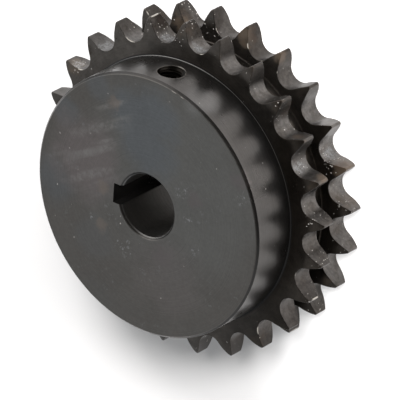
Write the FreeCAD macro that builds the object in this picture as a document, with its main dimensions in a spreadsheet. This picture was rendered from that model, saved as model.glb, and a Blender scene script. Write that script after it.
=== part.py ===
"""Chain sprocket for a double-strand roller chain of 15.875 mm pitch.

One piece of steel: two toothed rows with a groove between them, a hub on one
side, a keyed bore and a tapped hole for a set screw in the hub's wall.

Millimetres. Z is the axis of the bore. The back face lies on Z = 0 and the hub
points up. X points through the middle of the keyway, and a tooth stands over
it. The hole for the set screw points along -Y.
"""
import FreeCAD, Part
import math
import os

import Sketcher

# Driving sizes. Every other length below is worked out from these.
SIZES = {
    "teeth": 25,
    "chain_pitch": 15.875,       # from roller to roller along the chain
    "row_pitch": 16.59,          # from the middle of one strand to the next
    "tooth_width": 8.8,          # thickness of one row
    "seat_radius": 5.2,          # hollow that a 10.16 mm roller sits in
    "seat_angle": 126.4,         # degrees of that hollow, from flank to flank
    "flank_radius": 45.0,        # rounded side of a tooth
    "tip_height": 3.67,          # tooth tip above the pitch circle
    "relief_depth": 1.6,         # taken off each side of a tooth at its tip
    "relief_radius": 16.0,       # curve of that side relief
    "groove_depth": 8.83,        # groove floor below the pitch circle
    "groove_fillet": 0.6,
    "hub_diameter": 105.0,
    "overall_length": 45.0,      # back face to hub face
    "hub_chamfer": 1.0,
    "hub_fillet": 0.5,           # where the hub meets the front row
    "bore_diameter": 25.0,
    "bore_chamfer": 1.0,
    "key_width": 8.0,
    "key_depth": 3.3,            # keyway floor beyond the bore's wall
    "screw_core": 8.5,           # core hole of the M10 thread
    "screw_mouth": 11.0,         # countersink at the hub's surface
}


class Size:
    """A length with its number now and the sheet formula that it stays bound to."""

    def __init__(self, number, formula):
        self.number = number
        self.formula = formula

    def __add__(self, other):
        return Size(self.number + other.number, f"({self.formula} + {other.formula})")

    def __sub__(self, other):
        return Size(self.number - other.number, f"({self.formula} - {other.formula})")

    def __neg__(self):
        return Size(-self.number, f"(-{self.formula})")

    def __rmul__(self, factor):
        return Size(factor * self.number, f"({factor} * {self.formula})")

    def half(self):
        return Size(self.number / 2, f"({self.formula} / 2)")


def fill_sheet(doc):
    """Write the driving sizes into the sheet and give them back as bound sizes."""
    sheet = doc.addObject("Spreadsheet::Sheet", "Sizes")
    bound = {}
    for row, (name, number) in enumerate(SIZES.items(), start=1):
        sheet.set(f"A{row}", name)
        sheet.set(f"B{row}", str(number))
        sheet.setAlias(f"B{row}", name)
        bound[name] = Size(number, f"Sizes.{name}")
    doc.recompute()
    return bound


def add_sketch(body, name, role):
    """Add a sketch on one of the body's own origin planes."""
    sketch = body.newObject("Sketcher::SketchObject", name)
    plane = next(item for item in body.Origin.OriginFeatures if item.Role == role)
    sketch.AttachmentSupport = [(plane, "")]
    sketch.MapMode = "FlatFace"
    return sketch


def hold(sketch, constraint, size):
    """Add a constraint whose value stays bound to a size."""
    index = sketch.addConstraint(constraint)
    sketch.setExpression(f"Constraints[{index}]", size.formula)


def hold_point(sketch, edge, end, x, y):
    """Hold one end of an edge at a place measured from the sketch's origin."""
    for kind, axis, size in (("DistanceX", -2, x), ("DistanceY", -1, y)):
        if size is None:
            sketch.addConstraint(Sketcher.Constraint("PointOnObject", edge, end, axis))
        elif size.number > 0:
            hold(sketch, Sketcher.Constraint(kind, -1, 1, edge, end, size.number), size)
        else:
            hold(sketch, Sketcher.Constraint(kind, edge, end, -1, 1, -size.number), -size)


def arc_between(start, end, radius, side):
    """Arc from start to end with its centre to the left (1) or the right (-1) of the way."""
    chord = end - start
    across = FreeCAD.Vector(-chord.y, chord.x, 0).normalize() * side
    rise = math.sqrt(radius ** 2 - (chord.Length / 2) ** 2)
    centre = start + chord / 2 + across * rise
    first, last = (start, end) if side > 0 else (end, start)
    begin = math.atan2(first.y - centre.y, first.x - centre.x)
    finish = math.atan2(last.y - centre.y, last.x - centre.x)
    return Part.ArcOfCircle(Part.Circle(centre, FreeCAD.Vector(0, 0, 1), radius), begin, finish)


def draw_outline(sketch, corners):
    """Draw a closed outline. A corner is (x, y) or (x, y, radius, side) where an arc leaves it.

    A coordinate of None lies on the axis.
    """
    places = [FreeCAD.Vector(*[0 if size is None else size.number for size in corner[:2]], 0)
              for corner in corners]
    ends = []
    for index, corner in enumerate(corners):
        start, end = places[index], places[(index + 1) % len(places)]
        if len(corner) == 2:
            edge = sketch.addGeometry(Part.LineSegment(start, end))
            ends.append((edge, 1, 2))
        else:
            radius, side = corner[2:]
            edge = sketch.addGeometry(arc_between(start, end, radius.number, side))
            ends.append((edge, 1, 2) if side > 0 else (edge, 2, 1))
            hold(sketch, Sketcher.Constraint("Radius", edge, radius.number), radius)
    for index, (edge, start, end) in enumerate(ends):
        following = ends[(index + 1) % len(ends)]
        sketch.addConstraint(Sketcher.Constraint("Coincident", edge, end, *following[:2]))
        hold_point(sketch, edge, start, *corners[index][:2])


def turn(body, kind, name, sketch):
    """Revolve a sketch about its vertical axis: a Revolution adds metal, a Groove removes it."""
    feature = body.newObject(f"PartDesign::{kind}", name)
    feature.Profile = sketch
    feature.ReferenceAxis = (sketch, ["V_Axis"])
    feature.Angle = 360.0
    body.Document.recompute()
    return feature


def confirm_cut(feature, before):
    """Stop if a cut took nothing away."""
    if feature.Shape.Volume > before.Shape.Volume - 1:
        raise RuntimeError(f"{feature.Name} cuts nothing")


def build_rows(body, s, tip_radius):
    """Turn the two rows, with side relief on their rims, and the narrower waist between them."""
    relief_rise = Size(
        math.sqrt(2 * s["relief_radius"].number * s["relief_depth"].number
                  - s["relief_depth"].number ** 2),
        "sqrt(2 * Sizes.relief_radius * Sizes.relief_depth - Sizes.relief_depth ^ 2)")
    relief_start = tip_radius - relief_rise
    width, depth, curve = s["tooth_width"], s["relief_depth"], s["relief_radius"]
    sketch = add_sketch(body, "RowOutline", "XZ_Plane")
    draw_outline(sketch, [
        (None, None),
        (relief_start, None, curve, 1),
        (tip_radius, depth),
        (tip_radius, width - depth, curve, 1),
        (relief_start, width),
        (None, width),
    ])
    rear_row = turn(body, "Revolution", "RearRow", sketch)

    floor, fillet, far = s["groove_radius"], s["groove_fillet"], s["row_pitch"]
    sketch = add_sketch(body, "WaistOutline", "XZ_Plane")
    draw_outline(sketch, [
        (None, width),
        (floor + fillet, width, fillet, -1),
        (floor, width + fillet),
        (floor, far - fillet, fillet, -1),
        (floor + fillet, far),
        (None, far),
    ])
    turn(body, "Revolution", "Waist", sketch)

    rows = body.newObject("PartDesign::LinearPattern", "Rows")
    rows.Originals = [rear_row]
    axis = next(item for item in body.Origin.OriginFeatures if item.Role == "Z_Axis")
    rows.Direction = (axis, [""])
    rows.Occurrences = 2
    rows.setExpression("Length", far.formula)
    body.Tip = rows
    body.Document.recompute()


def build_hub(body, s, front_face):
    """Turn the hub, with a chamfered rim and a small fillet at its foot."""
    radius, fillet = s["hub_diameter"].half(), s["hub_fillet"]
    chamfer, top = s["hub_chamfer"], s["overall_length"]
    sketch = add_sketch(body, "HubOutline", "XZ_Plane")
    draw_outline(sketch, [
        (None, front_face),
        (radius + fillet, front_face, fillet, -1),
        (radius, front_face + fillet),
        (radius, top - chamfer),
        (radius - chamfer, top),
        (None, top),
    ])
    return turn(body, "Revolution", "Hub", sketch)


def cut_bore(body, s):
    """Bore the sprocket through, with a chamfer at both ends."""
    radius, chamfer, top = s["bore_diameter"].half(), s["bore_chamfer"], s["overall_length"]
    before = body.Tip
    sketch = add_sketch(body, "BoreOutline", "XZ_Plane")
    draw_outline(sketch, [
        (None, -chamfer),
        (radius + 2 * chamfer, -chamfer),
        (radius, chamfer),
        (radius, top - chamfer),
        (radius + 2 * chamfer, top + chamfer),
        (None, top + chamfer),
    ])
    bore = turn(body, "Groove", "Bore", sketch)
    confirm_cut(bore, before)


def cut_keyway(body, s):
    """Broach the keyway along the whole bore, on the +X side."""
    floor, side = s["bore_diameter"].half() + s["key_depth"], s["key_width"].half()
    before = body.Tip
    sketch = add_sketch(body, "KeywayOutline", "XY_Plane")
    draw_outline(sketch, [(None, -side), (floor, -side), (floor, side), (None, side)])
    keyway = body.newObject("PartDesign::Pocket", "Keyway")
    keyway.Profile = sketch
    keyway.Type = "ThroughAll"
    keyway.Reversed = True
    body.Document.recompute()
    confirm_cut(keyway, before)


def cut_screw_hole(body, s, front_face):
    """Drill and countersink the set screw's hole into the bore, halfway up the hub's side."""
    core, mouth = s["screw_core"].half(), s["screw_mouth"].half()
    hub, bore = s["hub_diameter"].half(), s["bore_diameter"].half()
    sink = mouth - core
    before = body.Tip
    sketch = add_sketch(body, "ScrewHoleOutline", "XY_Plane")
    height = (front_face + s["overall_length"]).half()
    sketch.setExpression(".AttachmentOffset.Base.z", height.formula)
    draw_outline(sketch, [
        (None, -(hub + sink)),
        (mouth + sink, -(hub + sink)),
        (core, -(hub - sink)),
        (core, -bore.half()),
        (None, -bore.half()),
    ])
    hole = turn(body, "Groove", "ScrewHole", sketch)
    confirm_cut(hole, before)


def draw_tooth_gap(sketch, s, pitch_radius, tip_radius):
    """Draw one gap along the sketch's X axis: a seat for the roller and a flank on each side."""
    seat, flank = s["seat_radius"], s["flank_radius"]
    outside = tip_radius + s["tip_height"]
    half_angle = math.radians(s["seat_angle"].number / 2)
    up = FreeCAD.Vector(0, 0, 1)
    seat_centre = FreeCAD.Vector(pitch_radius.number, 0, 0)
    reach = seat.number + flank.number
    flank_x = pitch_radius.number - reach * math.cos(half_angle)
    flank_y = reach * math.sin(half_angle)
    outer_angle = math.acos((outside.number - flank_x) / flank.number)
    outer_y = flank_y - flank.number * math.sin(outer_angle)

    arc, circle = Part.ArcOfCircle, Part.Circle
    hollow = sketch.addGeometry(
        arc(circle(seat_centre, up, seat.number), math.pi - half_angle, math.pi + half_angle))
    left = sketch.addGeometry(
        arc(circle(FreeCAD.Vector(flank_x, flank_y, 0), up, flank.number), -half_angle, -outer_angle))
    right = sketch.addGeometry(
        arc(circle(FreeCAD.Vector(flank_x, -flank_y, 0), up, flank.number), outer_angle, half_angle))
    mouth = sketch.addGeometry(Part.LineSegment(
        FreeCAD.Vector(outside.number, outer_y, 0), FreeCAD.Vector(outside.number, -outer_y, 0)))

    rule = Sketcher.Constraint
    hold_point(sketch, hollow, 3, pitch_radius, None)
    hold(sketch, rule("Radius", hollow, seat.number), seat)
    sketch.addConstraint(rule("Tangent", hollow, 1, left, 1))
    sketch.addConstraint(rule("Tangent", hollow, 2, right, 2))
    sketch.addConstraint(rule("Symmetric", hollow, 1, hollow, 2, -1))
    hold(sketch, rule("Angle", hollow, 2 * half_angle), s["seat_angle"])
    hold(sketch, rule("Radius", left, flank.number), flank)
    sketch.addConstraint(rule("Equal", left, right))
    sketch.addConstraint(rule("Coincident", left, 2, mouth, 1))
    sketch.addConstraint(rule("Coincident", right, 1, mouth, 2))
    sketch.addConstraint(rule("Vertical", mouth))
    hold(sketch, rule("DistanceX", -1, 1, mouth, 1, outside.number), outside)


def cut_teeth(body, s, pitch_radius, tip_radius, front_face):
    """Cut one gap through both rows and repeat it around the axis."""
    before = body.Tip
    sketch = add_sketch(body, "GapOutline", "XY_Plane")
    sketch.setExpression(".AttachmentOffset.Rotation.Angle", "180 / Sizes.teeth")
    draw_tooth_gap(sketch, s, pitch_radius, tip_radius)
    gap = body.newObject("PartDesign::Pocket", "ToothGap")
    gap.Profile = sketch
    gap.Type = "Length"
    gap.Reversed = True
    gap.setExpression("Length", front_face.formula)
    body.Document.recompute()
    confirm_cut(gap, before)

    teeth = body.newObject("PartDesign::PolarPattern", "Teeth")
    teeth.Originals = [gap]
    axis = next(item for item in body.Origin.OriginFeatures if item.Role == "Z_Axis")
    teeth.Axis = (axis, [""])
    teeth.Angle = 360.0
    teeth.setExpression("Occurrences", "Sizes.teeth")
    body.Tip = teeth
    body.Document.recompute()
    confirm_cut(teeth, gap)


def build_sprocket(doc, s):
    """Build the one body of the part."""
    half_tooth = math.pi / s["teeth"].number
    pitch_radius = Size(
        s["chain_pitch"].number / (2 * math.sin(half_tooth)),
        "(Sizes.chain_pitch / (2 * sin(180 / Sizes.teeth)))")
    tip_radius = pitch_radius + s["tip_height"]
    s["groove_radius"] = pitch_radius - s["groove_depth"]
    front_face = s["row_pitch"] + s["tooth_width"]

    body = doc.addObject("PartDesign::Body", "Sprocket")
    body.Label = "sprocket"
    build_rows(body, s, tip_radius)
    build_hub(body, s, front_face)
    cut_teeth(body, s, pitch_radius, tip_radius, front_face)
    cut_bore(body, s)
    cut_keyway(body, s)
    cut_screw_hole(body, s, front_face)
    return body


def check(doc, bodies):
    """Stop if any object failed, or if a body isn't one valid solid."""
    doc.recompute()
    for item in doc.Objects:
        if "Invalid" in item.State or "Error" in item.State:
            raise RuntimeError(f"{item.Name} failed: {item.State}")
    for body in bodies:
        if body.Shape.isNull() or not body.Shape.isValid() or len(body.Shape.Solids) != 1:
            raise RuntimeError(f"{body.Label} isn't one valid solid")


def main():
    doc = FreeCAD.newDocument("ChainSprocket")
    bodies = [build_sprocket(doc, fill_sheet(doc))]
    check(doc, bodies)
    os.makedirs("parts", exist_ok=True)
    for body in bodies:
        body.Shape.exportStep(f"parts/{body.Label}.step")
        box = body.Shape.BoundBox
        print(body.Label, "volume", round(body.Shape.Volume), "faces", len(body.Shape.Faces),
              "size", round(box.XLength, 2), round(box.YLength, 2), round(box.ZLength, 2))


main()
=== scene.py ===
# %% [markdown]
# # A black chain sprocket for two rows of roller chain
# The real part is one piece of steel. It was turned on a lathe, its teeth were cut, it got a bore with
# a keyway and one tapped hole, and then it was blackened in a hot bath. This lesson makes it in the
# same order, so that every edge that the worker's tools left is there for the light to find. Lengths
# are written in millimetres, as on a drawing, and MM turns them into Blender's metres.

# %% Tools, frame and units
import math

import bmesh
import bpy
from mathutils import Matrix, Vector


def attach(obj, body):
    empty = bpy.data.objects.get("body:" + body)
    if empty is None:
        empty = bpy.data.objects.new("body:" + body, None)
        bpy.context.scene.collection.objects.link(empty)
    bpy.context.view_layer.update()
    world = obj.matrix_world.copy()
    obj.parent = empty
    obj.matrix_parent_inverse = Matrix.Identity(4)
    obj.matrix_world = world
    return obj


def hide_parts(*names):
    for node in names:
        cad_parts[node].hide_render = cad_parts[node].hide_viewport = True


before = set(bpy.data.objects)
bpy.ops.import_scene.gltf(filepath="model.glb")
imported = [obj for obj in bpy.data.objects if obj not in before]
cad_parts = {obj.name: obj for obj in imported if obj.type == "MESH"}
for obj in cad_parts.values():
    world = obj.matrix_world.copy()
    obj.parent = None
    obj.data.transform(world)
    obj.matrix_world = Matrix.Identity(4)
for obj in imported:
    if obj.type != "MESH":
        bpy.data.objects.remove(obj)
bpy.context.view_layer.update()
MM = 0.001
scene = bpy.context.scene
print("nodes in the frame:", len(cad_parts))

# %% [markdown]
# ## The sizes
# A sprocket's teeth follow its chain. The pitch circle is the circle that the chain's pins lie on, and
# each gap between two teeth is a round seat for a roller with two long flanks above it. The rest are
# the sizes that a turner reads off the drawing: the two rows, the groove between them, the hub and the
# bore.

# %% Sizes in millimetres
TEETH = 25
STEP = 2 * math.pi / TEETH
CHAIN_PITCH = 15.875
PITCH_RADIUS = CHAIN_PITCH / 2 / math.sin(math.pi / TEETH)
SEAT_RADIUS = 5.2
SEAT_HALF_ANGLE = math.radians(63.2)
FLANK_RADIUS = 45.0
TIP_RADIUS = PITCH_RADIUS + 3.67
RELIEF_FROM = 60.03
RELIEF_RADIUS = 16.0
ROW_WIDTH = 8.8
ROW_PITCH = 16.59
GROOVE_RADIUS = 54.5
GROOVE_FILLET = 0.6
HUB_RADIUS = 52.5
HUB_TOP = 45.0
HUB_CHAMFER = 1.0
HUB_FILLET = 0.5
BORE_RADIUS = 12.5
BORE_CHAMFER = 1.0
print(f"pitch circle {2 * PITCH_RADIUS:.2f} mm, over the tips {2 * TIP_RADIUS:.2f} mm")

# %% [markdown]
# ## One gap, then twenty-five
# The outline of a gap is the same on both its sides, so half of it is enough. The half goes from the
# seat's lowest point along the seat's arc, over the flank's arc to the tip, and ends at the middle of
# the tooth. Mirror gives the whole gap, and a spin that copies sets it all the way round. One point
# lies exactly where the sides of the teeth start to slope, because the flat face below and the sloping
# one above meet there.

# %% Half a gap as points
SEAT_STEPS, CORNER_STEPS, FLANK_STEPS = 6, 2, 6


def polar(radius, angle, height=0.0):
    """A point at this radius, angle and height, in metres from millimetres."""
    return Vector((radius * math.cos(angle), radius * math.sin(angle), height)) * MM


def half_gap():
    """The points of half a gap about +X, in metres."""
    sides = PITCH_RADIUS**2 + SEAT_RADIUS**2 - RELIEF_FROM**2
    turn_at = math.acos(sides / (2 * PITCH_RADIUS * SEAT_RADIUS))
    seat = [turn_at * i / SEAT_STEPS for i in range(SEAT_STEPS + 1)]
    rest = SEAT_HALF_ANGLE - turn_at
    seat += [turn_at + rest * i / CORNER_STEPS for i in range(1, CORNER_STEPS + 1)]
    points = [(PITCH_RADIUS - SEAT_RADIUS * math.cos(a), SEAT_RADIUS * math.sin(a)) for a in seat]
    reach = SEAT_RADIUS + FLANK_RADIUS
    centre = PITCH_RADIUS - reach * math.cos(SEAT_HALF_ANGLE), reach * math.sin(SEAT_HALF_ANGLE)
    far = math.hypot(*centre)
    to_tip = math.acos((far**2 + FLANK_RADIUS**2 - TIP_RADIUS**2) / (2 * far * FLANK_RADIUS))
    last = math.atan2(-centre[1], -centre[0]) + to_tip
    for i in range(1, FLANK_STEPS + 1):
        a = -SEAT_HALF_ANGLE + (last + SEAT_HALF_ANGLE) * i / FLANK_STEPS
        points.append((centre[0] + FLANK_RADIUS * math.cos(a), centre[1] + FLANK_RADIUS * math.sin(a)))
    return [Vector((x, y, 0)) * MM for x, y in points] + [polar(TIP_RADIUS, STEP / 2)]


half = half_gap()
print("half a gap has", len(half), "points, its corner at", round(half[-2].length / MM, 3), "mm")

# %% [markdown]
# Points closer than TOUCH are the same point, which is how the copies of the gap join into one loop.

# %% The outline of all the teeth
mesh = bmesh.new()
TOUCH = 0.002 * MM
line = [mesh.verts.new(point) for point in half]
for first, second in zip(line, line[1:]):
    mesh.edges.new((first, second))
bmesh.ops.mirror(mesh, geom=mesh.verts[:] + mesh.edges[:], matrix=Matrix(), merge_dist=TOUCH, axis="Y")
bmesh.ops.rotate(mesh, verts=mesh.verts, matrix=Matrix.Rotation(STEP / 2, 3, "Z"))
bmesh.ops.spin(
    mesh, geom=mesh.verts[:] + mesh.edges[:], cent=(0, 0, 0), axis=(0, 0, 1), dvec=(0, 0, 0),
    angle=STEP * (TEETH - 1), steps=TEETH - 1, use_duplicate=True,
)
bmesh.ops.remove_doubles(mesh, verts=mesh.verts, dist=TOUCH)
print("outline:", len(mesh.verts), "points and", len(mesh.edges), "edges")

# %% [markdown]
# ## The two rows of teeth
# A tooth is thinner at its tip than at its foot, so that the chain's plates slide over it. The turner
# cut that slope before the teeth were cut, and it depends only on the distance from the axis. The
# outline is extruded once for each row's thickness. Then the edges of the flanks are extruded to the
# middle of their tooth, where those from the left and the right meet and are merged. What stays open is
# the rim of a flat ring.

# %% Helpers for a loop of edges
def radius_of(point):
    return math.hypot(point.x, point.y) / MM


def lowest_radius(edge):
    return min(radius_of(point.co) for point in edge.verts)


def slope(radius):
    """How far a tooth's side has fallen back at this radius."""
    return RELIEF_RADIUS - math.sqrt(RELIEF_RADIUS**2 - max(0.0, radius - RELIEF_FROM) ** 2)


def extrude_to(edges, place):
    """Extrudes edges, puts each new point where place says, and returns the new edges."""
    made = bmesh.ops.extrude_edge_only(mesh, edges=edges)["geom"]
    points = {item for item in made if isinstance(item, bmesh.types.BMVert)}
    for point in points:
        point.co = place(point.co)
    edges = [item for item in made if isinstance(item, bmesh.types.BMEdge)]
    return [edge for edge in edges if points.issuperset(edge.verts)]


def to_middle_of_tooth(point):
    """The same radius and height, on the middle line of the nearest tooth."""
    angle = round(math.atan2(point.y, point.x) / STEP) * STEP
    return polar(radius_of(point), angle, point.z / MM)


# %% Rows
ROWS = (0.0, ROW_PITCH)
SLACK = 0.01
outline_edges = mesh.edges[:]
outline_points = mesh.verts[:]
copies = bmesh.ops.duplicate(mesh, geom=outline_points + outline_edges)["geom"]
second_edges = [item for item in copies if isinstance(item, bmesh.types.BMEdge)]
for edges, back in zip((outline_edges, second_edges), ROWS):
    for point in {point for edge in edges for point in edge.verts}:
        point.co.z = (back + slope(radius_of(point.co))) * MM
    front = back + ROW_WIDTH
    far_side = extrude_to(edges, lambda p: Vector((p.x, p.y, (front - slope(radius_of(p))) * MM)))
    for side in (edges, far_side):
        flanks = [e for e in side if RELIEF_FROM - SLACK < lowest_radius(e) < TIP_RADIUS - SLACK]
        extrude_to(flanks, to_middle_of_tooth)
bmesh.ops.remove_doubles(mesh, verts=mesh.verts, dist=TOUCH)
print("rows:", len(mesh.faces), "faces,", sum(edge.is_boundary for edge in mesh.edges), "open edges")

# %% [markdown]
# The foot of each tooth is still a straight line across the rim. It gets one more point in its middle,
# on the circle where the slope starts, so that the flat face below ends in a round.

# %% Round the feet of the teeth
base_lines = [e for e in mesh.edges if e.is_boundary and lowest_radius(e) > RELIEF_FROM - SLACK]
halved = bmesh.ops.subdivide_edges(mesh, edges=base_lines, cuts=1)["geom_inner"]
for point in (item for item in halved if isinstance(item, bmesh.types.BMVert)):
    point.co = polar(RELIEF_FROM, math.atan2(point.co.y, point.co.x), point.co.z / MM)
print(len(base_lines), "foot lines rounded")

# %% [markdown]
# ## Groove, hub and bore
# Everything inside the teeth is round, so the open rims are carried on ring by ring: across the groove
# from one row to the other, and from the back face through the bore, over the hub's face and down its
# side to the front row. Each ring has its points at the same angles, and so the last one meets the next
# row's rim and merges.

# %% Helpers for the turned faces
def rim_at(height):
    """The open edges that lie at this height."""
    return [
        edge for edge in mesh.edges
        if edge.is_boundary and all(abs(p.co.z / MM - height) < SLACK for p in edge.verts)
    ]


def carry(edges, stations):
    """Carries a loop of edges over stations of (radius, height)."""
    for radius, height in stations:
        edges = extrude_to(edges, lambda p: polar(radius, math.atan2(p.y, p.x), height))
    return edges


def quarter(radius, height, size, start, steps=4):
    """Stations of a quarter circle about (radius, height), from the angle start."""
    angles = [start + math.pi / 2 * i / steps for i in range(steps + 1)]
    return [(radius + size * math.cos(a), height + size * math.sin(a)) for a in angles]


# %% The turned faces
groove_low, groove_high = ROW_WIDTH, ROW_PITCH
front_face = ROW_PITCH + ROW_WIDTH
in_corner = GROOVE_RADIUS + GROOVE_FILLET
groove = quarter(in_corner, groove_low + GROOVE_FILLET, GROOVE_FILLET, -math.pi / 2)
groove = [(2 * in_corner - r, h) for r, h in groove]
groove += [(r, groove_low + groove_high - h) for r, h in reversed(groove)]
at_foot = HUB_RADIUS + HUB_FILLET
foot = quarter(at_foot, front_face + HUB_FILLET, HUB_FILLET, -math.pi / 2)
foot = [(2 * at_foot - r, h) for r, h in reversed(foot)]
lathe = [
    (BORE_RADIUS + BORE_CHAMFER, 0.0), (BORE_RADIUS, BORE_CHAMFER),
    (BORE_RADIUS, HUB_TOP - BORE_CHAMFER), (BORE_RADIUS + BORE_CHAMFER, HUB_TOP),
    (HUB_RADIUS - HUB_CHAMFER, HUB_TOP), (HUB_RADIUS, HUB_TOP - HUB_CHAMFER),
] + foot
low_rim, high_rim = rim_at(ROW_WIDTH), rim_at(ROW_PITCH)
back_rim, front_rim = rim_at(0.0), rim_at(front_face)
carry(low_rim, groove)
carry(high_rim, groove[-1:])
carry(back_rim, lathe)
carry(front_rim, lathe[-1:])
bmesh.ops.remove_doubles(mesh, verts=mesh.verts, dist=TOUCH)
bmesh.ops.recalc_face_normals(mesh, faces=mesh.faces)
still_open = sum(edge.is_boundary for edge in mesh.edges)
print("blank with teeth:", len(mesh.faces), "faces,", still_open, "open edges")

# %% [markdown]
# ## Keyway and tapped hole
# A broach cuts the keyway through the whole bore, and a drill and a tap make the hole for the set
# screw, which reaches from the hub's side into the bore. In Blender each tool is a small closed mesh,
# and a Boolean takes its shape away. Each tool starts in the empty middle of the bore.

# %% Make an object of a mesh, and cut with another
def make_object(name, source):
    data = bpy.data.meshes.new(name)
    source.to_mesh(data)
    source.free()
    piece = bpy.data.objects.new(name, data)
    scene.collection.objects.link(piece)
    return piece


def cut_away(piece, cutter):
    """Takes the cutter's shape out of the piece, and removes the cutter."""
    cut = piece.modifiers.new("cut", "BOOLEAN")
    cut.operation, cut.solver, cut.object = "DIFFERENCE", "EXACT", cutter
    evaluated = piece.evaluated_get(bpy.context.evaluated_depsgraph_get())
    result = bpy.data.meshes.new_from_object(evaluated)
    piece.modifiers.clear()
    piece.data = result
    bpy.data.objects.remove(cutter)
    print("cut:", len(result.polygons), "faces left")


# %% Broach
KEY_WIDTH, KEY_FLOOR = 8.0, 15.8
CUT_FROM = 5
sprocket = make_object("chain_sprocket", mesh)
broach = bmesh.new()
bmesh.ops.create_cube(broach, size=MM)
bmesh.ops.scale(broach, verts=broach.verts, vec=(KEY_FLOOR - CUT_FROM, KEY_WIDTH, HUB_TOP + 2))
middle_of_cut = Vector(((KEY_FLOOR + CUT_FROM) / 2, 0, HUB_TOP / 2)) * MM
bmesh.ops.translate(broach, verts=broach.verts, vec=middle_of_cut)
cut_away(sprocket, make_object("broach", broach))

# %% [markdown]
# The drill is a profile spun full circle about the hole's axis. It has the countersink at its end, and
# just below the sink it is as wide as the thread, so that the thread starts a little deeper.

# %% Drill with its countersink
HOLE_HEIGHT = 35.195
HOLE_RADIUS, HOLE_MOUTH, THREAD_RADIUS = 4.25, 5.5, 5.0
TAPER_START, TAPER_END, PAST_HUB = 1.0, 0.25, 3
DRILL_STEPS = 64
HOLE_AXIS = Vector((0, -1, 0))


def along_hole(reach, radius):
    """A point this far from the bore's axis towards -Y, and this far above the hole's axis."""
    return Vector((0, -reach, HOLE_HEIGHT + radius)) * MM


drill = bmesh.new()
sink = HUB_RADIUS - (HOLE_MOUTH - THREAD_RADIUS)
section = [
    (CUT_FROM, 0), (CUT_FROM, HOLE_RADIUS), (sink - TAPER_START, HOLE_RADIUS),
    (sink - TAPER_END, THREAD_RADIUS), (sink, THREAD_RADIUS),
    (sink + PAST_HUB, THREAD_RADIUS + PAST_HUB), (sink + PAST_HUB, 0),
]
line = [drill.verts.new(along_hole(*point)) for point in section]
for first, second in zip(line, line[1:]):
    drill.edges.new((first, second))
bmesh.ops.spin(
    drill, geom=drill.verts[:] + drill.edges[:], cent=along_hole(0, 0), axis=HOLE_AXIS, dvec=(0, 0, 0),
    angle=2 * math.pi, steps=DRILL_STEPS, use_merge=True,
)
bmesh.ops.remove_doubles(drill, verts=drill.verts, dist=TOUCH)
bmesh.ops.recalc_face_normals(drill, faces=drill.faces)
cut_away(sprocket, make_object("drill", drill))

# %% [markdown]
# The tap is a triangle spun along the hole like a spring, which leaves a real thread to look into. Its
# foot reaches a little into the empty hole, so that no thin skin is left between the two cuts.

# %% Tap
THREAD_PITCH = 1.5
TURN_STEPS = 40
TAP_FROM = 11
TAP_FOOT, LAST_TURN = 0.2, 0.3
turns = math.floor((sink - LAST_TURN - TAP_FROM) / THREAD_PITCH)
tap = bmesh.new()
inner = HOLE_RADIUS - TAP_FOOT
spread = (THREAD_RADIUS - inner) * math.tan(math.radians(30))
corners = [(TAP_FROM - spread, inner), (TAP_FROM, THREAD_RADIUS), (TAP_FROM + spread, inner)]
line = [tap.verts.new(along_hole(*point)) for point in corners]
for i in range(3):
    tap.edges.new((line[i - 1], line[i]))
bmesh.ops.spin(
    tap, geom=tap.verts[:] + tap.edges[:], cent=along_hole(0, 0), axis=HOLE_AXIS,
    dvec=HOLE_AXIS * THREAD_PITCH * MM / TURN_STEPS, angle=2 * math.pi * turns, steps=TURN_STEPS * turns,
)
bmesh.ops.holes_fill(tap, edges=[edge for edge in tap.edges if edge.is_boundary])
bmesh.ops.recalc_face_normals(tap, faces=tap.faces)
cut_away(sprocket, make_object("tap", tap))

# %% [markdown]
# ## Edges
# No edge of a steel part is perfectly sharp. The turner breaks the hub's and the bore's edges lightly,
# and the teeth are deburred, which leaves a small round that catches a thin line of light. The faces
# that these bevels make are marked, because the black wears off there first and the material will ask
# for them. So are the faces that the hob has cut, which are the roughest.

# %% Clean the mesh and mark what the hob has cut
mesh = bmesh.new()
mesh.from_mesh(sprocket.data)
bmesh.ops.remove_doubles(mesh, verts=mesh.verts, dist=TOUCH)
bmesh.ops.dissolve_degenerate(mesh, edges=mesh.edges, dist=TOUCH)
worn = mesh.faces.layers.float.new("worn")
hobbed = mesh.faces.layers.float.new("hobbed")
DEEPEST_CUT = PITCH_RADIUS - SEAT_RADIUS - 0.5
for face in mesh.faces:
    face[hobbed] = radius_of(face.calc_center_median()) > DEEPEST_CUT and abs(face.normal.z) < 0.2
print("cut by the hob:", sum(face[hobbed] > 0 for face in mesh.faces), "faces")

# %% [markdown]
# Each group of edges is picked by where it lies, since the cuts have left them in no useful order. Only
# an edge whose two faces turn by more than 25 degrees counts as sharp.

# %% Ways to pick an edge
def middle(edge):
    return (edge.verts[0].co + edge.verts[1].co) / 2


def sharp(edge):
    return edge.is_manifold and edge.calc_face_angle(0) > math.radians(25)


def near_hole(edge):
    """True beside the tapped hole, whose mouth has its countersink and gets no bevel."""
    point = middle(edge)
    beside = math.hypot(point.x / MM, point.z / MM - HOLE_HEIGHT)
    return point.y < 0 and beside < HOLE_MOUTH + 1.5 and radius_of(point) < HUB_RADIUS + 1


def at_tip(edge):
    upright = abs(edge.verts[0].co.z - edge.verts[1].co.z) > 3 * MM
    return upright and radius_of(middle(edge)) > TIP_RADIUS - 0.5


def at_teeth(edge):
    return radius_of(middle(edge)) > GROOVE_RADIUS + 1


def at_hub(edge):
    point = middle(edge)
    return HUB_RADIUS - 3 < radius_of(point) < GROOVE_RADIUS and point.z > (HUB_TOP - 3) * MM


def at_bore(edge):
    return radius_of(middle(edge)) < KEY_FLOOR + 2


# %% [markdown]
# The tips go first, because their rounds are the largest, and each later bevel then runs into them. Wear
# says how much of the skin can be gone on the faces of a bevel.

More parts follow.
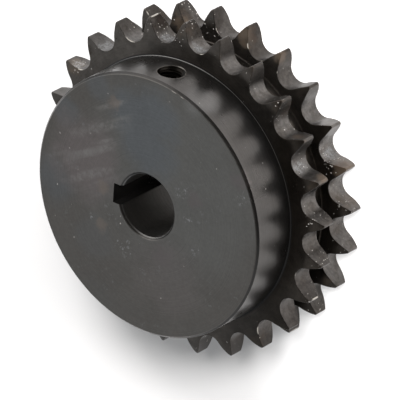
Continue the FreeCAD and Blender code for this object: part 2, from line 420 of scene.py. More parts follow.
# %% Break the edges
EDGE_GROUPS = (
    {"name": "tips", "belongs": at_tip, "size": 0.38, "segments": 3, "wear": 0.5},
    {"name": "teeth and rows", "belongs": at_teeth, "size": 0.24, "segments": 3, "wear": 1.0},
    {"name": "hub's rim", "belongs": at_hub, "size": 0.1, "segments": 2, "wear": 0.8},
    {"name": "bore and keyway", "belongs": at_bore, "size": 0.1, "segments": 2, "wear": 0.5},
)
for group in EDGE_GROUPS:
    belongs = group["belongs"]
    edges = [edge for edge in mesh.edges if sharp(edge) and belongs(edge) and not near_hole(edge)]
    made = bmesh.ops.bevel(
        mesh, geom=edges, offset=group["size"] * MM, offset_type="OFFSET", segments=group["segments"],
        profile=0.5, affect="EDGES", material=-1, clamp_overlap=True,
    )
    for face in made["faces"]:
        face[worn] = group["wear"]
    print(group["name"], "-", len(edges), "edges broken at", group["size"], "mm")

# %% [markdown]
# The finished mesh goes back to the object. Faces that meet at less than 38 degrees are shaded as one
# smooth surface, and the normals are weighted by the size of the faces, so that the large faces stay
# flat up to their bevels.

# %% Finish the mesh
bmesh.ops.recalc_face_normals(mesh, faces=mesh.faces)
open_edges = sum(not edge.is_manifold for edge in mesh.edges)
volume = round(mesh.calc_volume() / MM**3)
print("sprocket:", len(mesh.faces), "faces,", open_edges, "bad edges,", volume, "cubic mm")
mesh.to_mesh(sprocket.data)
mesh.free()
for polygon in sprocket.data.polygons:
    polygon.use_smooth = True
sprocket.data.set_sharp_from_angle(angle=math.radians(38))
shading = sprocket.modifiers.new("even_shading", "WEIGHTED_NORMAL")
shading.keep_sharp = True
shading.weight = 100

# %% [markdown]
# ## Black oxide
# The blackening bath turns the surface of the steel into a thin skin of dark oxide. It still mirrors
# like metal, only much darker, and a little warm. The machining shows below it: the lathe left fine
# rings, the hub's face is ground to a satin, and the gaps between the teeth are the roughest. The skin
# isn't even. There are bluish and brownish patches, wiped smears, pale specks of dust, a brown bloom on
# some teeth and a few rubbed edges. All of it is built from a few kinds of node, and each helper below
# adds one.

# %% Helpers for a material
def new_material(name):
    material = bpy.data.materials.new(name)
    material.use_nodes = True
    return material, material.node_tree.nodes, material.node_tree.links


def plug(links, socket, value):
    """Gives a socket a link, a number or a colour."""
    if isinstance(value, bpy.types.NodeSocket):
        links.new(value, socket)
    elif isinstance(value, tuple) and len(socket.default_value) == 4:
        socket.default_value = (*value, 1.0)
    else:
        socket.default_value = value


def add_math(kind, first, second=0.0):
    made = nodes.new("ShaderNodeMath")
    made.operation = kind
    plug(links, made.inputs[0], first)
    plug(links, made.inputs[1], second)
    return made.outputs[0]


def add_range(value, low, high, to_low=0.0, to_high=1.0):
    """Spreads value between low and high softly over to_low to to_high."""
    made = nodes.new("ShaderNodeMapRange")
    made.interpolation_type = "SMOOTHSTEP"
    limits = {"From Min": low, "From Max": high, "To Min": to_low, "To Max": to_high}
    for name, number in limits.items():
        made.inputs[name].default_value = number
    plug(links, made.inputs["Value"], value)
    return made.outputs["Result"]


def add_mix(share, first, second, blend="MIX"):
    """Mixes two colours, each a socket or three numbers."""
    made = nodes.new("ShaderNodeMix")
    made.data_type, made.blend_type = "RGBA", blend
    for socket, value in ((made.inputs[0], share), (made.inputs[6], first), (made.inputs[7], second)):
        plug(links, socket, value)
    return made.outputs[2]


def add_noise(where, scale, detail=3.0, rough=0.5):
    """A noise of this many lumps per metre."""
    made = nodes.new("ShaderNodeTexNoise")
    for name, number in (("Scale", scale), ("Detail", detail), ("Roughness", rough)):
        made.inputs[name].default_value = number
    plug(links, made.inputs["Vector"], where)
    return made.outputs["Fac"]


def add_vector(kind, first, second=(0.0, 0.0, 0.0)):
    made = nodes.new("ShaderNodeVectorMath")
    made.operation = kind
    plug(links, made.inputs[0], first)
    if kind != "LENGTH":
        plug(links, made.inputs[1], second)
    return made.outputs["Value" if kind in ("LENGTH", "DOT_PRODUCT") else "Vector"]


# %% [markdown]
# A mask is a number between 0 and 1 that says where something is. Masks are joined by multiplying them
# or by taking the highest one.

# %% Helpers for masks
def times(*masks):
    """Masks and numbers multiplied, which is strong only where all of them are."""
    product = masks[0]
    for mask in masks[1:]:
        product = add_math("MULTIPLY", product, mask)
    return product


def strongest(*masks):
    """The highest of the masks at each point."""
    highest = masks[0]
    for mask in masks[1:]:
        highest = add_math("MAXIMUM", highest, mask)
    return highest


def outside(mask):
    return add_math("SUBTRACT", 1.0, mask)


def read_mark(name):
    """A mark that was written on the faces of the mesh."""
    made = nodes.new("ShaderNodeAttribute")
    made.attribute_name = name
    return made.outputs["Fac"]


# %% [markdown]
# The first masks tell the surfaces of the sprocket from each other, by the distance from the axis, by
# the height and by the marks on the faces. The two at the tapped hole measure the distance from its
# mouth, and they count the way into the hole only a quarter, so that they reach down it.

# %% Where on the sprocket
black, nodes, links = new_material("black_oxide_steel")
steel = nodes["Principled BSDF"]
place = nodes.new("ShaderNodeTexCoord").outputs["Object"]
axes = nodes.new("ShaderNodeSeparateXYZ")
links.new(place, axes.inputs[0])
from_axis = add_vector("LENGTH", add_vector("MULTIPLY", place, (1.0, 1.0, 0.0)))
mouth = tuple(Vector((0, -HUB_RADIUS, HOLE_HEIGHT)) * MM)
from_hole = add_vector("MULTIPLY", add_vector("SUBTRACT", place, mouth), (1.0, 0.25, 1.0))
from_hole = add_vector("LENGTH", from_hole)


def rising(distance, low, high):
    """A mask that rises from low to high, in millimetres of this distance."""
    return add_range(distance, low * MM, high * MM)


def along(axis, low, high):
    """A mask that rises from low to high, in millimetres along one axis."""
    return rising(axes.outputs[axis], low, high)


on_face = along("Z", HUB_TOP - 0.4, HUB_TOP - 0.1)
on_teeth = rising(from_axis, 57, 61)
on_rows = rising(from_axis, HUB_RADIUS + 0.6, HUB_RADIUS + 0.9)
in_bore = rising(from_axis, BORE_RADIUS + 0.5, BORE_RADIUS + 0.1)
in_hole = rising(from_hole, THREAD_RADIUS + 0.35, THREAD_RADIUS + 0.2)
at_mouth = rising(from_hole, HOLE_MOUTH + 0.2, HOLE_MOUTH)
in_gap, on_edge = read_mark("hobbed"), read_mark("worn")
print("masks:", len(nodes), "nodes")

# %% [markdown]
# Most patches on the skin are roundish with an uneven border. A patch is made from the distance to its
# middle, and a slow noise is added to that distance, so that the border wanders. More edge means a more
# ragged patch.

# %% Soft patches on the hub's face
WANDER_SCALE = 70
wander = add_noise(place, WANDER_SCALE, 3, 0.6)


def distance_to(x, y, z):
    """The distance in metres from a place in millimetres."""
    return add_vector("LENGTH", add_vector("SUBTRACT", place, tuple(Vector((x, y, z)) * MM)))


def add_spot(x, y, size, edge=0.5):
    """A soft round patch on the hub's face, with a wandering edge."""
    away = add_math("DIVIDE", distance_to(x, y, HUB_TOP), size * MM)
    share = add_math("ADD", away, times(wander, edge))
    return times(add_range(share, 1.3 + edge / 2, 0.5 + edge / 2), on_face)


def add_patches(patches):
    """One mask of several patches, each (x, y, size, edge, strength)."""
    return strongest(*(times(add_spot(x, y, size, edge), share) for x, y, size, edge, share in patches))


# %% [markdown]
# ## Blue, brown and worn oxide
# The skin is nearly black with a warm tint, here and there a little cooler, and paler over a broad part
# of the hub's face. Smaller patches are bluish or brownish, as the colour of a thin oxide changes with
# its thickness.

# %% Colour of the skin
OXIDE, OXIDE_COOL, OXIDE_PALE = (0.134, 0.122, 0.111), (0.128, 0.124, 0.118), (0.148, 0.141, 0.131)
BLUE, BROWN = (0.138, 0.143, 0.149), (0.178, 0.153, 0.146)
BLUE_PATCHES = (
    (4, -35, 15, 1.4, 1.0), (2, -24, 13, 1.4, 1.0), (44, 5, 10, 1.0, 0.7),
    (24, 22, 9, 1.6, 0.3), (40, -25, 7, 1.4, 0.7), (26, -40, 6, 1.4, 0.6),
)
BROWN_PATCHES = ((30, -10, 17, 1.2, 1.0), (-12, 24, 16, 1.2, 0.35))
cool = add_range(add_noise(place, 26, 3, 0.55), 0.48, 0.72, 0, 0.5)
colour = add_mix(cool, OXIDE, OXIDE_COOL)
colour = add_mix(add_spot(-14, -16, 42), colour, OXIDE_PALE)
colour = add_mix(times(add_patches(BLUE_PATCHES), 0.8), colour, BLUE)
colour = add_mix(times(add_patches(BROWN_PATCHES), 0.95), colour, BROWN)
print("patches:", len(BLUE_PATCHES), "blue and", len(BROWN_PATCHES), "brown")

# %% [markdown]
# The hub's face has pale streaks, all in one direction, as a wiping cloth leaves them. A Mapping node
# turns and stretches the space along that direction. A round mark in the stretched space is a long
# streak on the steel.

# %% Wiped streaks
WIPE_TURN, WIPE_STRETCH = math.radians(30), 7.0
WIPED, SMEARED = (0.27, 0.25, 0.235), (0.26, 0.245, 0.23)
STREAKS = ((25.5, -23.5, 2.4), (25, -14.5, 1.8), (28, -3, 1.8), (19.6, -35, 1.2), (22, -19, 0.9))
SMEARED_PLACES = ((30, -12, 19, 0.8, 1.0), (20, -33, 10, 0.8, 1.0))
wipe = nodes.new("ShaderNodeMapping")
wipe.vector_type = "TEXTURE"
wipe.inputs["Rotation"].default_value = (0, 0, WIPE_TURN)
wipe.inputs["Scale"].default_value = (WIPE_STRETCH, 1.0, 1.0)
links.new(place, wipe.inputs["Vector"])


def add_streak(x, y, size):
    """A wiped streak over this place on the hub's face: a round mark in the stretched space."""
    centre = Vector((x, y, 0)) @ Matrix.Rotation(WIPE_TURN, 3, "Z")
    centre = Vector((centre.x / WIPE_STRETCH, centre.y, HUB_TOP)) * MM
    away = add_vector("LENGTH", add_vector("SUBTRACT", wipe.outputs[0], tuple(centre)))
    share = add_math("ADD", add_math("DIVIDE", away, size * MM), times(wander, 1.5))
    return times(add_range(share, 2.05, 1.05), on_face)


ragged = add_range(add_noise(place, 420, 4, 0.65), 0.38, 0.62, 0.25, 1.0)
streaks = times(strongest(*(add_streak(*streak) for streak in STREAKS)), ragged)
smears = add_range(add_noise(wipe.outputs[0], 210, 4, 0.6), 0.50, 0.68)
smears = times(smears, add_patches(SMEARED_PLACES))
colour = add_mix(times(smears, 0.25), colour, SMEARED)
colour = add_mix(times(streaks, 0.55), colour, WIPED)
print("streaks:", len(STREAKS))

# %% [markdown]
# Light scuffs lie all over the hub's face in loose groups. A fine noise gives the scuffs and a coarse
# one the groups.

# %% Light scuffs
SCUFF = (0.26, 0.255, 0.25)
fine_scuffs = add_range(add_noise(place, 520, 3, 0.7), 0.58, 0.72)
scuff_groups = add_range(add_noise(place, 65, 2, 0.5), 0.50, 0.62)
colour = add_mix(times(fine_scuffs, on_face, scuff_groups, 0.35), colour, SCUFF)
print("material so far:", len(nodes), "nodes")

# %% [markdown]
# ## Tone of each surface
# The skin looks different on each surface. The hub's flat face is the palest, the side of the hub is
# smooth and dark, and the sides of the rows and the gaps lie between them. The bore's wall is painted
# brighter, most at its deep end: painted light that stands in for light shining into the bore. The
# tapped hole is painted darkest, a painted shade, and its countersink a little paler. The gaps are
# painted darker towards the tips of the teeth, a painted shade. The tones multiply the colour, so the
# patches stay.

# %% Tones by surface
HUB_TONE, ROW_TONE, FACE_TONE = (0.40, 0.412, 0.43), (0.55, 0.53, 0.51), (0.865, 0.873, 0.873)
# The last of these tones is a painted shade in the tapped hole.
GAP_TONE, SINK_TONE, HOLE_PAINTED_SHADE = (0.64, 0.655, 0.68), (1.15, 1.15, 1.15), (0.075, 0.068, 0.060)
# Painted light on the bore's wall, brightest at its deep end.
BORE_PAINTED_LIGHT_DEEP, BORE_PAINTED_LIGHT_NEAR = (5.3, 5.6, 5.9), (1.95, 2.05, 2.15)
# A painted shade in the gaps towards the tips of the teeth.
TIP_PAINTED_SHADE = (0.72, 0.71, 0.70)
tone = add_mix(on_rows, HUB_TONE, ROW_TONE)
tone = add_mix(on_face, tone, FACE_TONE)
tone = add_mix(in_gap, tone, GAP_TONE)
# The bore's wall gets its painted light.
tone = add_mix(in_bore, tone, add_mix(along("Z", 12, 38), BORE_PAINTED_LIGHT_DEEP, BORE_PAINTED_LIGHT_NEAR))
tone = add_mix(at_mouth, tone, SINK_TONE)
# The tapped hole gets its painted shade.
tone = add_mix(in_hole, tone, HOLE_PAINTED_SHADE)
colour = add_mix(1.0, colour, tone, "MULTIPLY")
# The gaps get a painted shade towards the tips.
towards_tips = rising(add_math("ADD", from_axis, times(wander, 4 * MM)), 63, 67)
colour = add_mix(times(towards_tips, in_gap), colour, TIP_PAINTED_SHADE, "MULTIPLY")
print("material so far:", len(nodes), "nodes")

# %% [markdown]
# The rows aren't equally dark all the way round. Some stretches of them are painted darker, as painted
# shade, and some paler, as painted light. Each zone is the overlap of masks along the axes, with the
# tone that it gets.

# %% Zones of the rows
front_row, rear_row = along("Z", 13, 15), along("Z", 12, 9)
row_side = times(on_rows, outside(in_gap))
outer_part = rising(from_axis, 60, 62.5)
# The darker zones are painted shade and the paler ones painted light.
LIGHT_AND_SHADE_ZONES = (
    (times(in_gap, front_row, along("Y", -42, -50), outer_part), (0.60, 0.58, 0.56)),
    (times(in_gap, front_row, along("Y", 0, 15)), (0.66, 0.64, 0.63)),
    (times(in_gap, front_row, along("Y", 48, 58)), (0.50, 0.48, 0.46)),
    (times(in_gap, rear_row, along("X", -44, -54)), (1.28, 1.28, 1.28)),
    (times(in_gap, rear_row, along("Y", -45, -52), along("X", -4, -10)), (0.66, 0.64, 0.62)),
    (times(in_gap, rear_row, along("Y", -45, -62)), (0.80, 0.785, 0.775)),
    (times(row_side, along("X", -35, -48)), (0.62, 0.59, 0.56)),
    (times(row_side, along("X", 12, 32), along("Y", -30, -45)), (1.22, 1.22, 1.22)),
)
# Each zone multiplies in its painted shade or its painted light.
for mask, painted_tone in LIGHT_AND_SHADE_ZONES:
    colour = add_mix(mask, colour, painted_tone, "MULTIPLY")
print("zones:", len(LIGHT_AND_SHADE_ZONES))

# %% [markdown]
# The sides of the rows are smudged, and the gaps have wide stains and small blots, as old oil leaves
# them. Each comes from a noise of its own scale.

# %% Smudges, stains and blots
STAIN_TONE, BLOT_TONE = (0.72, 0.70, 0.68), (0.84, 0.82, 0.80)
smudges = add_range(add_noise(place, 140, 4, 0.65), 0.35, 0.65, 0.80, 1.18)
colour = add_mix(row_side, colour, smudges, "MULTIPLY")
stains = times(add_range(add_noise(place, 48, 2, 0.5), 0.48, 0.62), in_gap)
colour = add_mix(stains, colour, STAIN_TONE, "MULTIPLY")
blots = times(add_range(add_noise(place, 190, 3, 0.6), 0.50, 0.60), in_gap)
colour = add_mix(blots, colour, BLOT_TONE, "MULTIPLY")
print("material so far:", len(nodes), "nodes")

# %% [markdown]
# Under the skin lies the grain of the machining: a fine grain on the turned faces, a coarse one in the
# gaps, and the rings of the lathe. For the rings the noise is read in a space of only two directions,
# the distance from the axis and the height, so it is the same all the way round.

# %% Grain of the machining
grain = add_noise(place, 900, 4, 0.6)
flat_grain = add_range(grain, 0.3, 0.7, 0.95, 1.05)
mottle = add_range(add_noise(place, 700, 4, 0.7), 0.3, 0.7, 0.78, 1.28)
rings = nodes.new("ShaderNodeCombineXYZ")
links.new(from_axis, rings.inputs["X"])
links.new(axes.outputs["Z"], rings.inputs["Y"])
turning = add_noise(rings.outputs[0], 2200, 3, 0.6)
turned_tone = add_range(turning, 0.3, 0.7, 0.93, 1.07)
colour = add_mix(1.0, colour, add_mix(in_gap, flat_grain, mottle), "MULTIPLY")
colour = add_mix(outside(in_gap), colour, turned_tone, "MULTIPLY")
print("material so far:", len(nodes), "nodes")

# %% [markdown]
# ## Marks at known places
# Marks that can be told one by one are written as a place and a size, (x, y, z, size) in millimetres,
# and one helper makes a mask of a whole list. A blotchy noise is added to the distance, so no mark is a
# plain disc. Heights near 45 are on the hub's face, near 25 on the front row's and near 8 on the rear
# row's. RAGGED says how much the noise moves a border, in sizes of the mark.

# %% Places of the marks
FROSTED = (
    (12, -57.2, 22, 4), (-3, -58.2, 23, 4), (41, -43.6, 22, 4), (53, -32.3, 23, 4),
    (-51.5, -27, 22, 3.5), (-52, -27, 4, 3.5),
)
BROWNED = (
    (-12.3, -61.5, 7, 5), (-49.8, -39, 21.5, 3), (-60.2, -25, 6, 6), (-61, -25.1, 20, 4),
    (-28.8, -59.2, 7, 4), (54, -32.5, 23, 5), (18, -57, 8, 5),
)
RUBBED = (
    (28.5, -52.5, 25.2, 2.6), (34, -55.5, 8.2, 1.4), (20, -63.8, 21, 2.4), (0.4, -60.4, 8.2, 1.2),
    (-14.5, -59.2, 8.2, 1.2), (-21.5, -55.4, 8.2, 1.0), (50, -32.2, 25.2, 1.5), (-6, -58.4, 25.2, 1.2),
    (-41, 44.3, 25.2, 1.7), (-47.5, 35.2, 25.2, 2.0), (-62.3, 24.6, 20, 2.2), (-42.9, 50.5, 5, 3.0),
    (-28.7, -53.2, 8.2, 0.9), (-9, -50.9, 45.1, 1.4), (-13, -50, 45.1, 1.2),
)
DARKENED = (
    (18, -61.8, 20, 5), (12.5, -63.5, 21, 4), (-12.3, -61.5, 5, 4), (5, -60.5, 4, 4),
    (-45, -33, 22, 2.5), (47, -41, 24, 3), (-36.5, -45.5, 22.5, 2.5), (-59.5, -26, 6, 3.5),
)
REDDENED = ((-9, 17.6, 45, 6), (-41.7, -26, 45, 4.5), (-21.8, -10.6, 45, 4.5))
TANNED = ((21, -0.3, 45, 3.5), (20.5, 15.5, 45, 3.5), (18.4, -36.6, 45, 3.5))
SCUFFED = (
    (25.8, 14, 45, 2.0), (9, 20.6, 45, 5), (-16, -12, 45, 4), (-19.6, -2, 45, 3),
    (-23.7, 9.7, 45, 3), (-43.9, -19.6, 45, 4),
)
RAGGED, OUTER, FULL = 1.6, 1.9, 1.1
blotch = add_noise(place, 330, 3, 0.6)


def add_marks(places):
    """A mask of soft ragged marks at these places, each (x, y, z, size) in millimetres."""
    mask = 0.0
    for x, y, z, size in places:
        away = add_math("ADD", distance_to(x, y, z), times(blotch, RAGGED * size * MM))
        mask = add_math("MAXIMUM", mask, add_range(away, OUTER * size * MM, FULL * size * MM))
    return mask


print("marks:", sum(map(len, (FROSTED, BROWNED, RUBBED, DARKENED, REDDENED, TANNED, SCUFFED))))

# %% [markdown]
# The first marks to lie on the skin are stains. A brown bloom of rust sits on some teeth, thin where a
# noise puts it and thicker at the places that are known. Soaked spots are darker, and on the hub's face
# there are a few reddish and tan spots and small groups of scratches.

# %% Rust and stains
RUST, SOAKED = (0.080, 0.056, 0.037), (0.50, 0.44, 0.40)
REDDISH, TAN, SCRATCHED = (0.138, 0.120, 0.117), (0.19, 0.155, 0.13), (0.24, 0.235, 0.23)
bloom = times(add_range(add_noise(place, 75, 4, 0.6), 0.56, 0.70), on_teeth)
bloom = strongest(times(bloom, 0.35), times(add_marks(BROWNED), 0.65))
scratches = add_range(add_noise(place, 700, 3, 0.7), 0.54, 0.66)
colour = add_mix(bloom, colour, RUST)
colour = add_mix(add_marks(DARKENED), colour, SOAKED, "MULTIPLY")
colour = add_mix(times(add_marks(REDDENED), 0.6), colour, REDDISH)
colour = add_mix(times(add_marks(TANNED), 0.55), colour, TAN)
colour = add_mix(times(add_marks(SCUFFED), scratches), colour, SCRATCHED)
print("material so far:", len(nodes), "nodes")

# %% [markdown]
# In some gaps the hobbed steel is frosted, a pale bloom of very fine specks. Two larger places are
# painted: beside the tapped hole the hub's side is paler, a painted highlight, and behind the hub one
# side of the front row is darker, a painted shade.

# %% Frost, a painted highlight and a painted shade
FROST, PAINTED_HIGHLIGHT_TONE, PAINTED_SHADE_TONE = (0.25, 0.255, 0.26), (1.8, 1.85, 1.9), (0.5, 0.5, 0.5)
PAINTED_HIGHLIGHT_AT, PAINTED_SHADE_AT = (-18.5, -49, 39), (-44, 42, 25)
speckle = add_range(add_noise(place, 1000, 4, 0.8), 0.40, 0.62)
frost = times(add_marks(FROSTED), speckle, in_gap)
colour = add_mix(times(frost, 0.75), colour, FROST)
# A painted highlight on the hub's side beside the tapped hole.
paler = rising(distance_to(*PAINTED_HIGHLIGHT_AT), 9, 3)
colour = add_mix(paler, colour, PAINTED_HIGHLIGHT_TONE, "MULTIPLY")
# A painted shade on the front row behind the hub.
darker = times(rising(distance_to(*PAINTED_SHADE_AT), 30, 8), along("Z", 30, 26), outside(in_gap))
colour = add_mix(darker, colour, PAINTED_SHADE_TONE, "MULTIPLY")
print("material so far:", len(nodes), "nodes")

# %% [markdown]
# Dust lies on the teeth in crowds and over everything as rare larger specks. A Voronoi pattern gives
# one cell to each speck. Each cell has a random colour: its red decides whether the speck is there and
# its green how large it is. The place is shaken a little by a fine noise first, so no speck is round.

# %% Specks of dust
DUST = (0.34, 0.32, 0.30)
SHAKE_SCALE, SHAKE = 1600, 0.7
CROWD_SPECKS, CROWD_SIZE = 1450, 0.42
LARGE_SPECKS, LARGE_SIZE, LARGE_SHARE = 420, 0.17, 0.12
CROWDS = (
    (-52, -27, 6, 8), (-51, -28, 20, 5), (-42.6, -40, 10, 4), (-14, -52, 25, 5), (53, -32.3, 23, 4),
)
shaker = nodes.new("ShaderNodeTexNoise")
shaker.inputs["Scale"].default_value = SHAKE_SCALE
links.new(place, shaker.inputs["Vector"])
shaken = add_vector("ADD", place, add_vector("MULTIPLY", shaker.outputs["Color"], (SHAKE * MM,) * 3))


def add_specks(scale, size, chosen):
    """Small uneven specks, of which this share, a number or a mask, is chosen."""
    cells = nodes.new("ShaderNodeTexVoronoi")
    cells.inputs["Scale"].default_value = scale
    links.new(shaken, cells.inputs["Vector"])
    pick = nodes.new("ShaderNodeSeparateColor")
    links.new(cells.outputs["Color"], pick.inputs[0])
    reach = add_range(pick.outputs[1], 0, 1, 0.3 * size, size)
    inside = add_range(add_math("DIVIDE", cells.outputs["Distance"], reach), 1.0, 0.6)
    return times(inside, add_math("LESS_THAN", pick.outputs[0], chosen))


thin_crowd = times(add_range(add_noise(place, 40, 2, 0.5), 0.46, 0.66), 0.2)
crowd = times(strongest(thin_crowd, times(add_marks(CROWDS), 0.7)), on_teeth)
dusty = add_specks(CROWD_SPECKS, CROWD_SIZE, crowd)
dusty = strongest(dusty, times(add_specks(LARGE_SPECKS, LARGE_SIZE, LARGE_SHARE), 0.5))
colour = add_mix(dusty, colour, DUST)
print("material so far:", len(nodes), "nodes")

# %% [markdown]
# In the corner where the hub stands on the front row there is a thin dark ring, a painted shade in the
# corner. On the side that faces -Y a fine pale line lies in it, a painted highlight.

# %% The corner at the hub's foot
CORNER_PAINTED_SHADE, CORNER_PAINTED_HIGHLIGHT = (0.55, 0.55, 0.55), (0.26, 0.25, 0.24)


def circle(radius, outer, inner):
    """A thin ring at this radius: full within inner and gone beyond outer, in millimetres."""
    beside = add_math("ABSOLUTE", add_math("SUBTRACT", from_axis, radius * MM))
    return rising(beside, outer, inner)


corner = times(circle(HUB_RADIUS + 0.25, 0.3, 0.2), along("Z", 26.2, 25.8))
highlight_line = times(circle(HUB_RADIUS + 0.2, 0.12, 0.06), along("Y", 5, -35))
# The dark ring is a painted shade, and the pale line in it a painted highlight.
colour = add_mix(corner, colour, CORNER_PAINTED_SHADE, "MULTIPLY")
colour = add_mix(times(corner, highlight_line, 0.7), colour, CORNER_PAINTED_HIGHLIGHT)
print("material so far:", len(nodes), "nodes")

# %% [markdown]
# On the broken edges the skin is rubbed off in short stretches, and at a few places it is bare steel.
# That comes last, because it lies over everything else. The skin shines like metal, rust does so less,
# and dust the least.

# %% Rubbed edges
RUBBED_STEEL, BARE_STEEL = (0.38, 0.35, 0.32), (0.58, 0.54, 0.48)
SKIN_METAL, DUST_METAL = 0.96, 0.3
rub = add_range(add_noise(place, 110, 4, 0.65), 0.60, 0.72)
colour = add_mix(times(on_edge, rub, 0.6), colour, RUBBED_STEEL)
colour = add_mix(times(on_edge, add_marks(RUBBED)), colour, BARE_STEEL)
links.new(colour, steel.inputs["Base Color"])
metal = add_range(strongest(dusty, times(bloom, 0.6)), 0, 1, SKIN_METAL, DUST_METAL)
metal = add_mix(in_bore, metal, (1.0, 1.0, 1.0))
links.new(metal, steel.inputs["Metallic"])
print("colour done:", len(nodes), "nodes")

# %% [markdown]
# ## Gloss and grain
# The hub's side is the smoothest, its face has a satin, the gaps are a bit duller and the bore is duller
# again. Dust and frost are the dullest. These numbers are roughness, the same in all three channels.

# %% Gloss
SIDE_GLOSS, FACE_GLOSS, BORE_GLOSS = (0.31, 0.31, 0.31), (0.38, 0.38, 0.38), (0.5, 0.5, 0.5)
GAP_GLOSS, DUST_GLOSS = (0.40, 0.40, 0.40), (0.6, 0.6, 0.6)
sheen = add_mix(on_face, SIDE_GLOSS, FACE_GLOSS)
sheen = add_mix(in_bore, sheen, BORE_GLOSS)
sheen = add_mix(in_gap, sheen, GAP_GLOSS)
sheen = add_mix(1.0, sheen, add_range(wander, 0.3, 0.7, 0.85, 1.15), "MULTIPLY")
sheen = add_mix(strongest(dusty, frost), sheen, DUST_GLOSS)
links.new(sheen, steel.inputs["Roughness"])
print("gloss done:", len(nodes), "nodes")

# %% [markdown]
# The grain and the rings are also a very low relief, a hundredth of a millimetre, which breaks the
# reflections up. It is too fine for the mesh, so a bump gives it.

# %% Relief of the grain
BUMP_STRENGTH, BUMP_HEIGHT = 0.35, 0.01
height = add_math("ADD", times(grain, 0.6), times(turning, 0.4))
height = add_math("ADD", height, times(in_gap, mottle))
bump = nodes.new("ShaderNodeBump")
bump.inputs["Strength"].default_value = BUMP_STRENGTH
bump.inputs["Distance"].default_value = BUMP_HEIGHT * MM
links.new(height, bump.inputs["Height"])
links.new(bump.outputs["Normal"], steel.inputs["Normal"])
print("relief done:", len(nodes), "nodes")

# %% [markdown]
# The whole part has this one material, since it is one piece of steel.

# %% Put it on the sprocket
sprocket.data.materials.clear()
sprocket.data.materials.append(black)
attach(sprocket, "root")
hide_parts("sprocket")
print("material:", black.name, "with", len(nodes), "nodes")

# %% [markdown]
# ## Floor, light and camera
# A sprocket is photographed on a white table under soft light. The floor looks plain white to the
# camera and in the steel's reflections, and still takes the shadow. For that it glows a little, but
# only for rays that see it, so it lights nothing. It glows more towards -X, which paints light over
# the shadow on that side, so that none is left there. It lies a hair below the steel.

# %% Floor
FLOOR_REACH, FLOOR_DROP = 3.0, 0.05
GLOW_RISES, GLOW_FULL = -18, -54
GLOW_LOW, GLOW_HIGH = 0.08, 0.50
table = bmesh.new()
bmesh.ops.create_grid(table, x_segments=1, y_segments=1, size=FLOOR_REACH)
bmesh.ops.translate(table, verts=table.verts, vec=(0, 0, -FLOOR_DROP * MM))
floor = make_object("floor", table)
paper, nodes, links = new_material("white_paper")
card = nodes["Principled BSDF"]
card.inputs["Base Color"].default_value = (0.52, 0.51, 0.505, 1)
card.inputs["Roughness"].default_value = 1.0
card.inputs["Specular IOR Level"].default_value = 0.0
card.inputs["Emission Color"].default_value = (1, 1, 1, 1)
path = nodes.new("ShaderNodeLightPath").outputs
seen = strongest(path["Is Camera Ray"], path["Is Glossy Ray"], path["Is Transmission Ray"])
across = nodes.new("ShaderNodeSeparateXYZ")
links.new(nodes.new("ShaderNodeTexCoord").outputs["Object"], across.inputs[0])
# The stronger glow towards -X is painted light over the shadow on that side.
glow = add_range(across.outputs["X"], GLOW_RISES * MM, GLOW_FULL * MM, GLOW_LOW, GLOW_HIGH)
links.new(times(seen, glow), card.inputs["Emission Strength"])
print("floor paper:", paper.name, "glows from", GLOW_LOW, "to", GLOW_HIGH)

# %% [markdown]
# From below the paper is clear, so that the back face can be looked at too.

# %% Clear from below
from_below = nodes.new("ShaderNodeNewGeometry").outputs["Backfacing"]
pane = nodes.new("ShaderNodeMixShader")
links.new(from_below, pane.inputs[0])
links.new(card.outputs[0], pane.inputs[1])
links.new(nodes.new("ShaderNodeBsdfTransparent").outputs[0], pane.inputs[2])
links.new(pane.outputs[0], nodes["Material Output"].inputs["Surface"])
floor.data.materials.append(paper)
print("floor:", paper.name, "with", len(nodes), "nodes")

# %% [markdown]
# Polished steel shows whatever stands round it, so the sky is built like a studio: pale behind the
# part, dark where the camera and the photographer stand, and with one soft panel at the side.

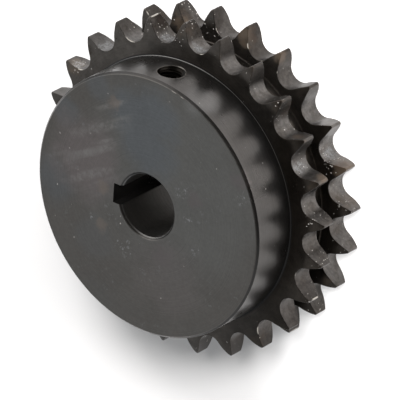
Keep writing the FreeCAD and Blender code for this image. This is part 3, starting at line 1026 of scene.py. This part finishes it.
# %% Sky
WHERE_CAMERA, WHERE_PANEL = (-0.53, -0.46, 0.713), tuple(Vector((0.66, -0.66, 0.36)).normalized())
PALE_SKY, DARK_SKY, PANEL = (0.62, 0.65, 0.68), (0.035, 0.030, 0.025), (1.9, 1.9, 1.9)
world = bpy.data.worlds.new("studio")
world.use_nodes = True
scene.world = world
nodes, links = world.node_tree.nodes, world.node_tree.links
sky = nodes["Background"]
direction = nodes.new("ShaderNodeTexCoord").outputs["Generated"]
towards_camera = add_vector("DOT_PRODUCT", direction, WHERE_CAMERA)
towards_panel = add_vector("DOT_PRODUCT", direction, WHERE_PANEL)
light = add_mix(add_range(towards_camera, 0.35, 0.72), PALE_SKY, DARK_SKY)
light = add_mix(add_range(towards_panel, 0.86, 0.97), light, PANEL)
links.new(light, sky.inputs["Color"])
sky.inputs["Strength"].default_value = 1.0
print("sky:", world.name, "with", len(nodes), "nodes")

# %% [markdown]
# Three round lamps stand above the part on one side. Together they give the soft shadow that falls
# away from them. They are hidden from the camera and from the reflections.

# %% Lamps
LAMP_SIZE = 0.245
LAMPS = (
    ("key", (-0.234, -0.406, 0.520), 6.6),
    ("side", (-0.455, -0.382, 0.371), 6.0),
    ("rear", (0.0, -0.536, 0.450), 6.6),
)


def add_lamp(name, spot, power):
    """A round lamp at this spot, turned towards the part."""
    lamp = bpy.data.lights.new(name, "AREA")
    lamp.shape, lamp.size, lamp.energy = "DISK", LAMP_SIZE, power
    piece = bpy.data.objects.new(name, lamp)
    scene.collection.objects.link(piece)
    piece.location = spot
    piece.rotation_euler = (-Vector(spot)).to_track_quat("-Z", "Y").to_euler()
    return piece


for name, spot, power in LAMPS:
    lamp = add_lamp(name, spot, power)
    lamp.visible_camera = lamp.visible_glossy = False

# %% [markdown]
# The camera stands far away with a long lens and looks down on the hub. It is given as a photographer
# would say it: the side that it stands on, how steeply it looks down, how far it is rolled about its own
# line of sight, and how far it is from the point that it looks at.

# %% Camera
AZIMUTH, ELEVATION, ROLL = math.radians(-139.1076), math.radians(45.4537), math.radians(-117.5933)
LOOKS_AT, DISTANCE = Vector((2.245, 11.340, 8.973)) * MM, 2.10953
lens = bpy.data.cameras.new("camera")
lens.lens, lens.sensor_width = 503.5, 36.0
lens.clip_start, lens.clip_end = 0.1, 50.0
camera = bpy.data.objects.new("camera", lens)
scene.collection.objects.link(camera)
level = math.cos(ELEVATION)
back = Vector((level * math.cos(AZIMUTH), level * math.sin(AZIMUTH), math.sin(ELEVATION)))
turn = back.to_track_quat("Z", "Y").to_matrix() @ Matrix.Rotation(ROLL, 3, "Z")
camera.matrix_world = Matrix.Translation(LOOKS_AT + DISTANCE * back) @ turn.to_4x4()
scene.camera = camera
scene.view_settings.view_transform = "Standard"
print("camera at", [round(c, 4) for c in camera.matrix_world.translation])
